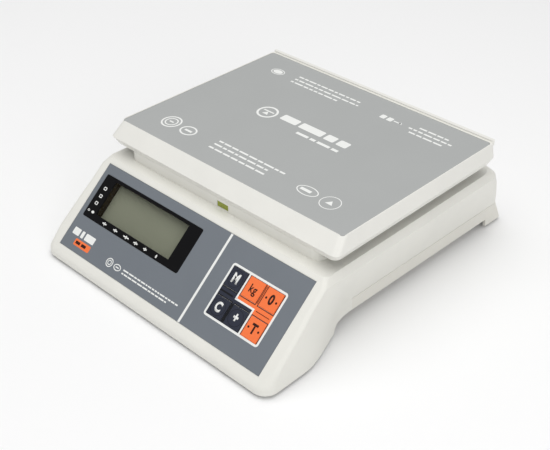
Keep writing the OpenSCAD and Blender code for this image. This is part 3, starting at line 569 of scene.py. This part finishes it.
# The bar stays on the housing and gets a mesh of its own.
cell_bar = moulded("load_cell", "load_cell_bar", "housing", milled, 0.3)
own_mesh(cell_bar)

# ---- Main electronics and battery ---------------------------------------------------------
# The main board stands on posts at the rear; a sealed lead battery lies over its door. Held
# cables run between them, the load cell and the panel.

battery_case = finish("battery_case", tone(52, 53, 56), 0.5, grain=1100, height=0.02)
grey_sheath = finish("grey_sheath", tone(150, 151, 152), 0.5, grain=900, height=0.01)
red_sheath = finish("red_sheath", tone(165, 32, 30), 0.45, grain=900, height=0.01)
for node, name, material, slot, width in (
        ("board_components", "board_parts", black_abs, "black_plastic", 0.2),
        ("board_screws", "board_screw_set", plated, "zinc_steel", 0.2),
        ("battery", "battery_block", battery_case, "battery_case", 0.8),
        ("battery_tabs", "battery_terminals", plated, "zinc_steel", 0),
        ("cell_cable", "load_cell_cable", grey_sheath, "cable_grey", 0),
        ("battery_leads", "battery_wires", red_sheath, "cable_red", 0),
        ("display_cable", "display_wires", grey_sheath, "cable_grey", 0),
        ("key_cable", "key_wires", grey_sheath, "cable_grey", 0)):
    moulded(node, name, "housing", material, width, 2)

# ---- Underside ----------------------------------------------------------------------------
# The battery door hinges at its front edge and the power rocker sits beside it. Six screws
# hold the mouldings together, and each corner has a threaded foot with a ribbed rubber sole.
# The rating label is blank bars.

moulded("battery_door", "battery_cover", "battery_door", floor_abs, 0.4)
moulded("power_switch", "rocker_frame", "housing", black_abs, 0.4)
moulded("power_rocker", "rocker", "power_rocker", black_abs, 0.4)
moulded("housing_screws", "housing_screw_set", "housing", plated, 0.3)
moulded("dc_jack", "power_inlet", "housing", black_abs, 0.25)
floor_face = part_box("battery_door")[0].z
underside = Matrix.Translation((0, 0, floor_face)) @ Matrix.Rotation(math.pi, 4, "Y")
screw_head_high, cross_reach, cross_slot = 2, 1.8, 0.35
# Dark crosses on the six screw heads are painted shade that stands for their cross recesses.
recess_shade = bmesh.new()
for x, y in ((104, 104), (-104, 104), (106, 25), (-106, 25), (122, -118), (-122, -118)):
    rectangle(recess_shade, x - cross_reach, y - cross_slot, x + cross_reach, y + cross_slot)
    rectangle(recess_shade, x - cross_slot, y - cross_reach, x + cross_slot, y + cross_reach)
printed(recess_shade, "screw_recess_shade", black_oxide, "housing", underside, screw_head_high + 0.02)

door_low, door_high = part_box("battery_door")
door_x = -(door_low.x + door_high.x) / 2 / MM
grip_rows, grip_pitch, grip_half_w, grip_half_d, grip_from_edge = 5, 2.6, 13, 0.7, 5
grip = bmesh.new()
for row in range(grip_rows):
    y = door_high.y / MM - grip_from_edge - grip_pitch * row
    rounded_frame(grip, door_x - grip_half_w, y - grip_half_d, door_x + grip_half_w,
                  y + grip_half_d, 0.6, None)
printed(grip, "door_grip", floor_abs, "battery_door", underside, 0.4, 0.6)

label = bmesh.new()
rounded_frame(label, -34, 76, 34, 116, 2, None)
printed(label, "rating_label", white_ink, "housing", underside, 0.05)
label_marks = bmesh.new()
rounded_frame(label_marks, -32, 78, 32, 114, 1.2, 0.5)
for y, high_x in ((109, 20), (103, 26), (97, 12), (91, 26)):
    dashes(label_marks, -28, high_x, y, 2.2, draw)
oval(label_marks, -23, 84, 7, 7, 0.8)
oval(label_marks, -12, 84, 7, 7, 0.8)
printed(label_marks, "label_marks", dark_ink, "housing", underside, 0.08)

rib_count, rib_r, rib_length, rib_sunk = 28, 0.5, 4, 0.25
sole_rubber = finish("sole_rubber", tone(44, 44, 45), 0.8, grain=700, height=0.05)
for corner in ("front_left", "front_right", "rear_left", "rear_right"):
    moulded("stud_" + corner, "foot_screw_" + corner, "stud_" + corner, plated,
            0.3)
    moulded("sole_" + corner, "foot_sole_" + corner, "sole_" + corner, sole_rubber,
            0.8, 3)
    sole_low, sole_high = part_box("sole_" + corner)
    sole_centre = (sole_low + sole_high) / 2
    rib_reach = (sole_high.x - sole_low.x) / 2 - rib_sunk * MM
    ribs = bmesh.new()
    for rib in range(rib_count):
        turned = Matrix.Rotation(rib * math.tau / rib_count, 4, "Z")
        place = Matrix.Translation(sole_centre) @ turned @ Matrix.Translation((rib_reach, 0, 0))
        bmesh.ops.create_cone(ribs, cap_ends=True, segments=8, radius1=rib_r * MM,
                              radius2=rib_r * MM, depth=rib_length * MM, matrix=place)
    name = "sole_ribs_" + corner
    add_piece(name, finished_mesh(ribs, name), sole_rubber, "sole_" + corner)

# ---- Floor, light and camera --------------------------------------------------------------
# A pale seamless floor under an even studio sky. One broad soft light hangs overhead and a
# smaller one stands low on the right.

floor_mesh = bpy.data.meshes.new("studio_floor")
floor = bmesh.new()
bmesh.ops.create_grid(floor, x_segments=1, y_segments=1, size=6)
floor.to_mesh(floor_mesh)
floor.free()
floor_paint = bpy.data.materials.new("studio_floor")
floor_paint.use_nodes = True
floor_shader = floor_paint.node_tree.nodes["Principled BSDF"]
floor_shader.inputs["Base Color"].default_value = (0.94, 0.94, 0.94, 1)
floor_shader.inputs["Roughness"].default_value = 0.9
floor_mesh.materials.append(floor_paint)
studio_floor = bpy.data.objects.new("studio_floor", floor_mesh)
scene.collection.objects.link(studio_floor)

world = bpy.data.worlds.new("studio")
world.use_nodes = True
world.node_tree.nodes["Background"].inputs["Color"].default_value = (1, 1, 1, 1)
world.node_tree.nodes["Background"].inputs["Strength"].default_value = 0.42
scene.world = world
scene.view_settings.view_transform = "Standard"


def soft_light(name, place, aim, size, power):
    """A square area light at a place, turned towards a point."""
    lamp = bpy.data.lights.new(name, "AREA")
    lamp.size = size
    lamp.energy = power
    holder = bpy.data.objects.new(name, lamp)
    holder.location = place
    holder.rotation_euler = (Vector(aim) - Vector(place)).to_track_quat("-Z", "Y").to_euler()
    scene.collection.objects.link(holder)


soft_light("overhead_light", (-0.1, -0.15, 2.0), (0, 0, 0), 2.4, 30)
soft_light("side_light", (1.5, -0.7, 0.9), (0, 0, 0.05), 1.0, 7)

azimuth, elevation, roll = (math.radians(a) for a in (44.62, 34.51, 0.43))
back = Vector((math.sin(azimuth) * math.cos(elevation), -math.cos(azimuth) * math.cos(elevation),
               math.sin(elevation)))
level_right = Vector((math.cos(azimuth), math.sin(azimuth), 0))
level_up = back.cross(level_right)
right = level_right * math.cos(roll) - level_up * math.sin(roll)
up = level_right * math.sin(roll) + level_up * math.cos(roll)
camera_data = bpy.data.cameras.new("camera")
camera_data.sensor_width = 36
camera_data.lens = 68.86
camera = bpy.data.objects.new("camera", camera_data)
turn = Matrix((right, up, back)).transposed().to_4x4()
camera.matrix_world = Matrix.Translation((0.5335, -0.5521, 0.5423)) @ turn
scene.collection.objects.link(camera)
scene.camera = camera
